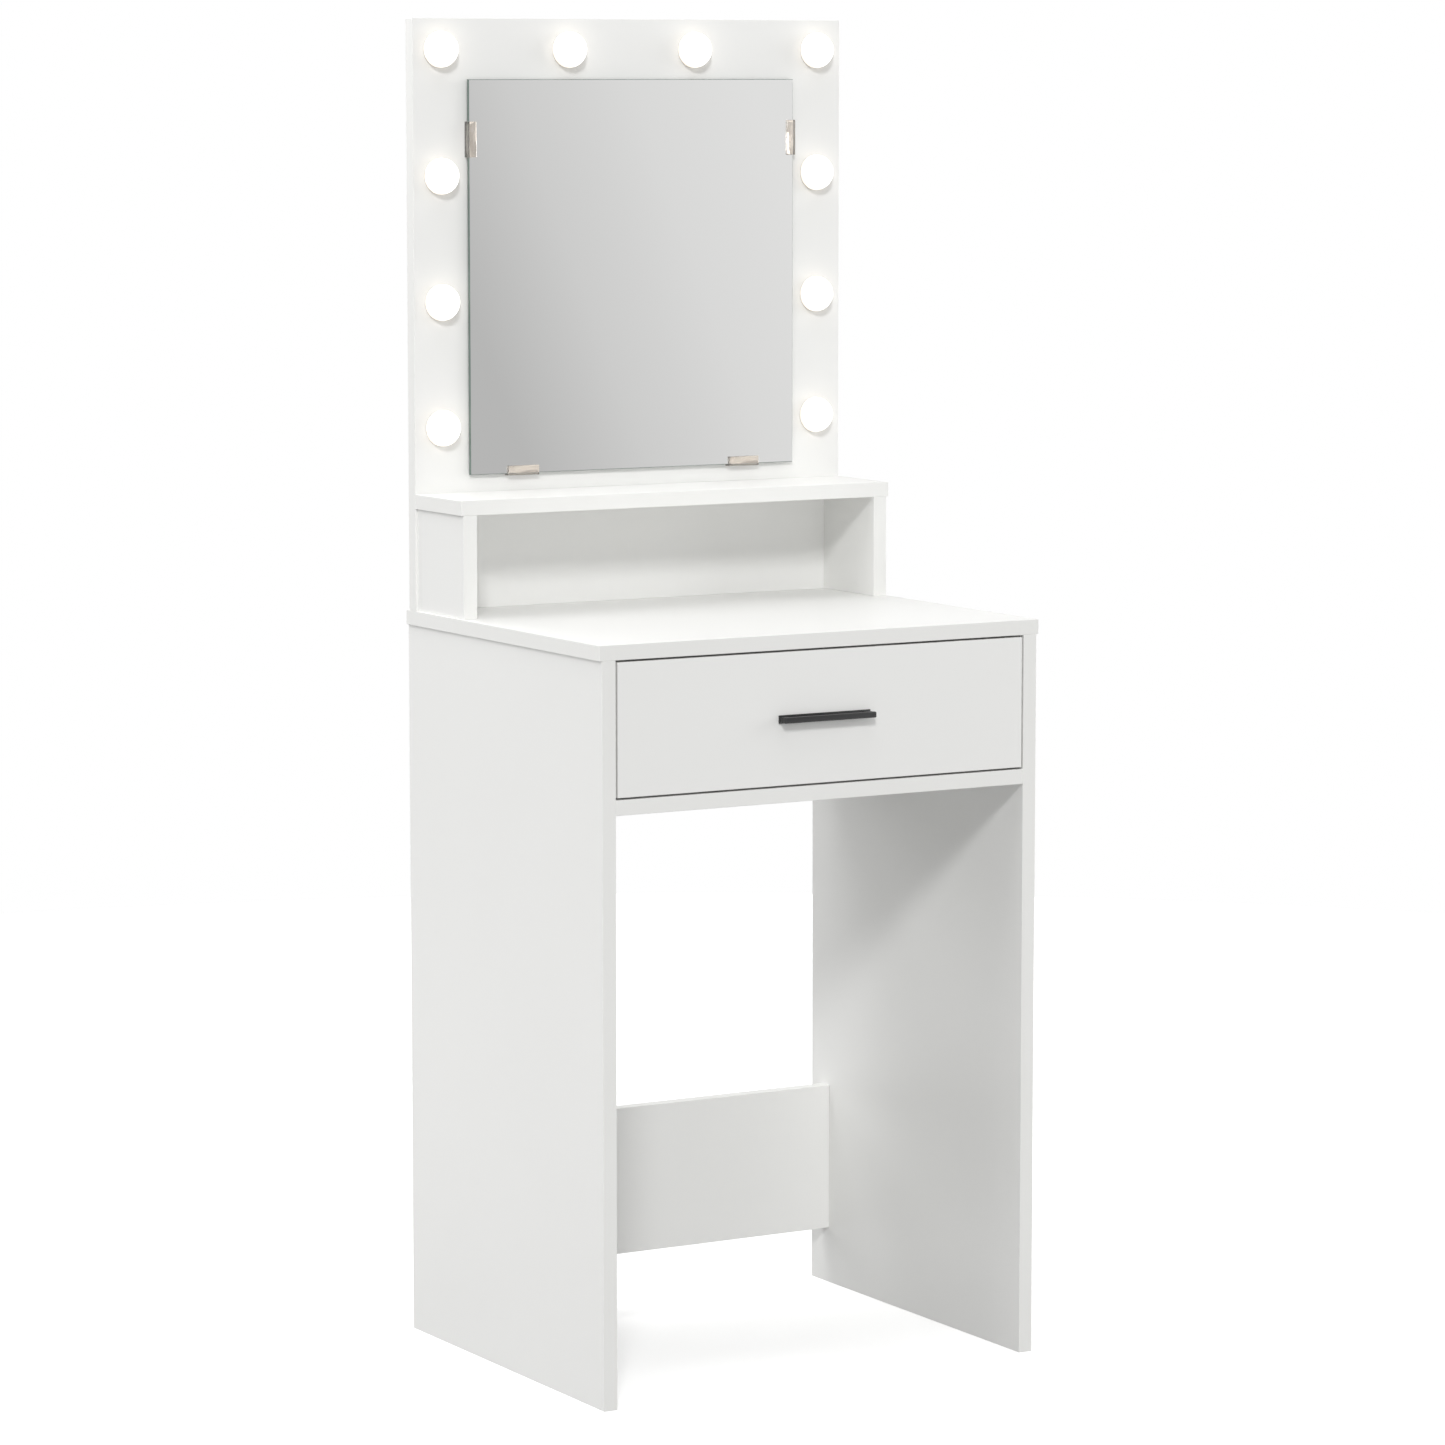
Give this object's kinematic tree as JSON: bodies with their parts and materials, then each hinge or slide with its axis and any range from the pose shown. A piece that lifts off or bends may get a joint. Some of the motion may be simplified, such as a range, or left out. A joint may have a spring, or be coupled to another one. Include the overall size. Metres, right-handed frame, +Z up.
{
  "type": "vanity table with mirror",
  "caption": "White vanity table with a mirror board ringed by round frosted lamps, an open shelf over the top and a drawer with a black bar handle on roller runners.",
  "frame": {"origin": "on the floor, at the middle of the width and of the depth from the handle's front to the tabletop's back edge", "axes": "+X to the right seen from the front, +Y to the back, +Z up"},
  "size_m": [0.5, 0.4186, 1.34],
  "materials": {
    "melamine_board": "satin white melamine on chipboard",
    "hardboard": "white lacquered",
    "mirror_glass": "silvered",
    "clear_plastic": "clear moulded",
    "foam_tape": "matt foam",
    "lamp_lens": "frosted opal",
    "lamp_base_plastic": "white moulded",
    "circuit_board": "white solder mask",
    "wire_jacket": "white vinyl",
    "driver_plastic": "white moulded",
    "black_plastic": "moulded",
    "zinc_plated_steel": "bright zinc",
    "zinc_casting": "die cast",
    "beech": "bare",
    "black_handle_paint": "matt black",
    "runner_enamel": "white powder coat",
    "roller_nylon": "moulded nylon"
  },
  "bodies": {
    "carcass": {"left_side_panel": "melamine_board", "right_side_panel": "melamine_board", "tabletop": "melamine_board", "drawer_bay_floor": "melamine_board", "drawer_bay_back": "melamine_board", "back_stretcher": "melamine_board", "mirror_board": "melamine_board", "cubby_left_side": "melamine_board", "cubby_right_side": "melamine_board", "cubby_shelf": "melamine_board", "mirror_glass": "mirror_glass", "mirror_clips": "clear_plastic", "mirror_foam_pads": "foam_tape", "lamp_lenses": "lamp_lens", "lamp_bases": "lamp_base_plastic", "lamp_rear_caps": "lamp_base_plastic", "lamp_nuts": "lamp_base_plastic", "harness_clips": "lamp_base_plastic", "lamp_led_boards": "circuit_board", "driver_circuit_board": "circuit_board", "wiring_harness": "wire_jacket", "driver_housing": "driver_plastic", "driver_cover": "driver_plastic", "power_inlet": "black_plastic", "cam_bolts": "zinc_plated_steel", "board_screws": "zinc_plated_steel", "mirror_clip_screws": "zinc_plated_steel", "driver_screws": "zinc_plated_steel", "cabinet_runner_screws": "zinc_plated_steel", "cabinet_roller_axles": "zinc_plated_steel", "cam_discs": "zinc_casting", "wood_dowels": "beech", "left_cabinet_runner": "runner_enamel", "right_cabinet_runner": "runner_enamel"},
    "drawer": {"drawer_front": "melamine_board", "drawer_left_side": "melamine_board", "drawer_right_side": "melamine_board", "drawer_back": "melamine_board", "drawer_bottom": "hardboard", "drawer_handle": "black_handle_paint", "handle_screws": "zinc_plated_steel", "left_drawer_runner": "runner_enamel", "right_drawer_runner": "runner_enamel", "drawer_roller_axles": "zinc_plated_steel", "drawer_runner_screws": "zinc_plated_steel", "drawer_cam_bolts": "zinc_plated_steel", "drawer_cam_discs": "zinc_casting", "drawer_screws": "zinc_plated_steel"},
    "left_front_roller": {"left_front_roller": "roller_nylon"},
    "right_front_roller": {"right_front_roller": "roller_nylon"},
    "left_rear_roller": {"left_rear_roller": "roller_nylon"},
    "right_rear_roller": {"right_rear_roller": "roller_nylon"}
  },
  "joints": [
    {"name": "drawer_slide", "type": "slide", "parent": "carcass", "child": "drawer", "axis": [0, -1, 0], "range_m": [0, 0.235]},
    {"name": "left_front_roller_spin", "type": "hinge", "parent": "carcass", "child": "left_front_roller", "pos_m": [-0.2265, -0.16525, 0.6186], "axis": [1, 0, 0], "continuous": true},
    {"name": "left_rear_roller_spin", "type": "hinge", "parent": "drawer", "child": "left_rear_roller", "pos_m": [-0.2265, 0.10625, 0.616], "axis": [1, 0, 0], "continuous": true},
    {"name": "right_front_roller_spin", "type": "hinge", "parent": "carcass", "child": "right_front_roller", "pos_m": [0.2265, -0.16525, 0.6186], "axis": [1, 0, 0], "continuous": true},
    {"name": "right_rear_roller_spin", "type": "hinge", "parent": "drawer", "child": "right_rear_roller", "pos_m": [0.2265, 0.10625, 0.616], "axis": [1, 0, 0], "continuous": true}
  ],
  "couplings": [
    {"joint": "left_front_roller_spin", "follows": "drawer_slide", "rad_per_m": 103.09},
    {"joint": "left_rear_roller_spin", "follows": "drawer_slide", "rad_per_m": 103.09},
    {"joint": "right_front_roller_spin", "follows": "drawer_slide", "rad_per_m": 103.09},
    {"joint": "right_rear_roller_spin", "follows": "drawer_slide", "rad_per_m": 103.09}
  ]
}
